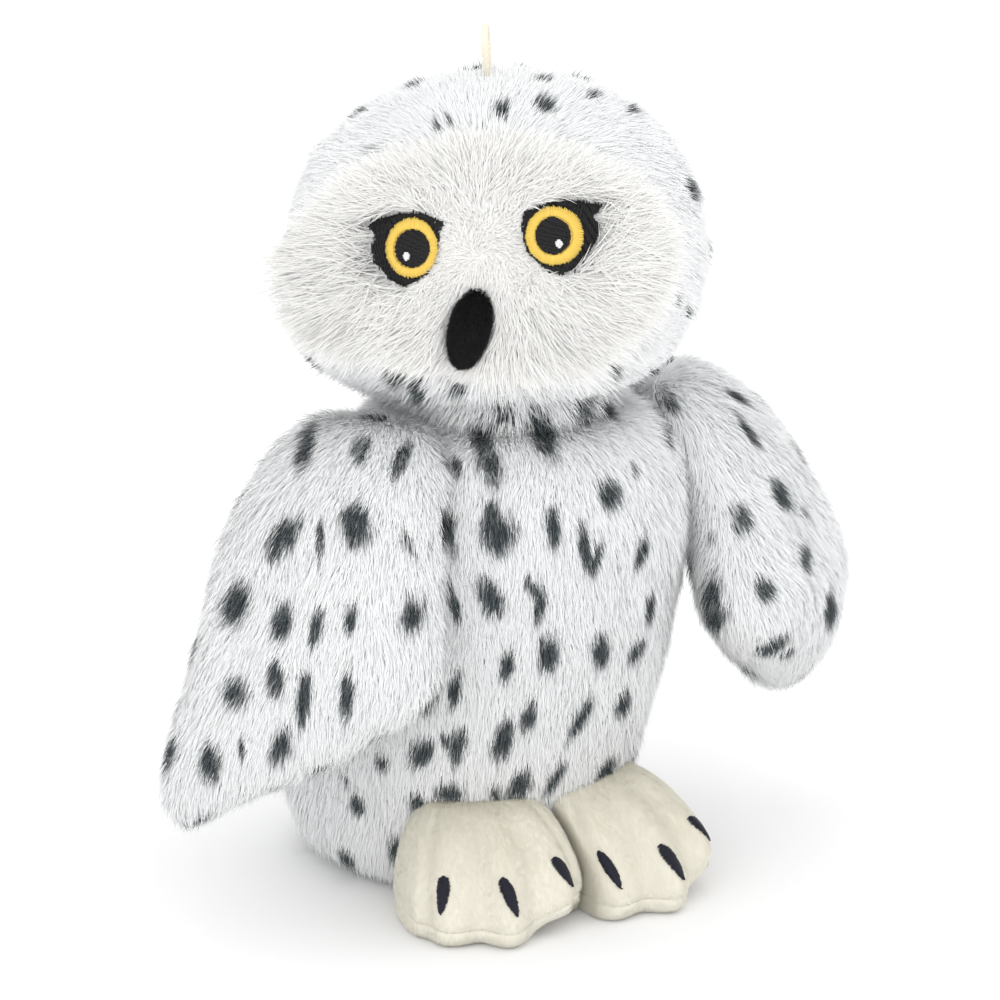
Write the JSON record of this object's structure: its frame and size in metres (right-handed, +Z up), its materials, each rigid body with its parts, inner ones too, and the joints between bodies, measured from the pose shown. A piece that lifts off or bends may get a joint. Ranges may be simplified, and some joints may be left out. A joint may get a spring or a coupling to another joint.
{
  "type": "stuffed owl dog toy",
  "caption": "Plush white owl for a dog to carry and squeak: stuffed body, head, wings and feet, a squeaker in the belly and a cord loop on the crown.",
  "frame": {"origin": "on the surface that the toy sits on, under the upright middle line of the torso", "axes": "+Z up through the crown, -Y out of the owl's belly, +X to the owl's own left side"},
  "size_m": [0.214, 0.1308, 0.2396],
  "materials": {
    "spotted_plush": "short white plush pile with soft charcoal flecks",
    "long_white_plush": "long warm white plush pile, brushed outwards",
    "cream_velboa": "very short cream pile with a soft bloom",
    "black_plush": "short black pile",
    "black_thread": "glossy embroidery thread in close rows",
    "yellow_thread": "glossy satin-stitched embroidery thread",
    "white_thread": "embroidery thread",
    "navy_thread": "embroidery thread",
    "fibre_filling": "loose white polyester fibre",
    "squeaker_vinyl": "soft translucent vinyl",
    "reed_plastic": "moulded plastic",
    "cream_cord": "plied cotton cord"
  },
  "bodies": {
    "torso": {"torso_front_panel": "spotted_plush", "torso_back_left_panel": "spotted_plush", "torso_back_right_panel": "spotted_plush", "torso_base_panel": "spotted_plush", "torso_filling_front": "fibre_filling", "torso_filling_back": "fibre_filling", "squeaker_bladder": "squeaker_vinyl", "squeaker_reed": "reed_plastic"},
    "neck": {"neck_filling": "fibre_filling"},
    "head": {"head_left_panel": "spotted_plush", "head_right_panel": "spotted_plush", "head_under_panel": "spotted_plush", "face_panel": "long_white_plush", "head_filling": "fibre_filling", "beak_cover": "black_plush", "beak_filling": "fibre_filling", "eye_patch_left": "black_thread", "eye_patch_right": "black_thread", "eye_ring_left": "yellow_thread", "eye_ring_right": "yellow_thread", "eye_pupil_left": "black_thread", "eye_pupil_right": "black_thread", "eye_highlight_left": "white_thread", "eye_highlight_right": "white_thread", "hang_loop": "cream_cord"},
    "wing_left": {"wing_left_outer_panel": "spotted_plush", "wing_left_inner_panel": "spotted_plush", "wing_left_filling": "fibre_filling"},
    "wing_right": {"wing_right_outer_panel": "spotted_plush", "wing_right_inner_panel": "spotted_plush", "wing_right_filling": "fibre_filling"},
    "foot_left": {"foot_left_upper_panel": "cream_velboa", "foot_left_sole_panel": "cream_velboa", "foot_left_filling": "fibre_filling", "foot_left_claw_inner": "navy_thread", "foot_left_claw_middle": "navy_thread", "foot_left_claw_outer": "navy_thread"},
    "foot_right": {"foot_right_upper_panel": "cream_velboa", "foot_right_sole_panel": "cream_velboa", "foot_right_filling": "fibre_filling", "foot_right_claw_inner": "navy_thread", "foot_right_claw_middle": "navy_thread", "foot_right_claw_outer": "navy_thread"}
  },
  "joints": [
    {"name": "head_turn", "type": "hinge", "parent": "torso", "child": "neck", "pos_m": [0, -0.00653, 0.139], "axis": [0, 0, 1], "range_deg": [-14, 86], "stiffness_Nm_per_rad": 0.03},
    {"name": "head_nod", "type": "hinge", "parent": "neck", "child": "head", "pos_m": [0, -0.00653, 0.139], "axis": [0.809, -0.5878, 0], "range_deg": [-9, 12], "stiffness_Nm_per_rad": 0.3},
    {"name": "wing_left_lift", "type": "hinge", "parent": "torso", "child": "wing_left", "pos_m": [0.04568, -0.00615, 0.136], "axis": [-0.7431, -0.6691, 0], "range_deg": [0, 70]},
    {"name": "wing_right_lift", "type": "hinge", "parent": "torso", "child": "wing_right", "pos_m": [-0.03959, -0.01946, 0.136], "axis": [-0.6947, 0.7193, 0], "range_deg": [0, 70]},
    {"name": "foot_left_flex", "type": "hinge", "parent": "torso", "child": "foot_left", "pos_m": [0.0195, -0.04, 0.03], "axis": [-1, 0, 0], "range_deg": [0, 20], "stiffness_Nm_per_rad": 0.05},
    {"name": "foot_right_flex", "type": "hinge", "parent": "torso", "child": "foot_right", "pos_m": [-0.022, -0.04, 0.03], "axis": [-1, 0, 0], "range_deg": [0, 20], "stiffness_Nm_per_rad": 0.05}
  ]
}
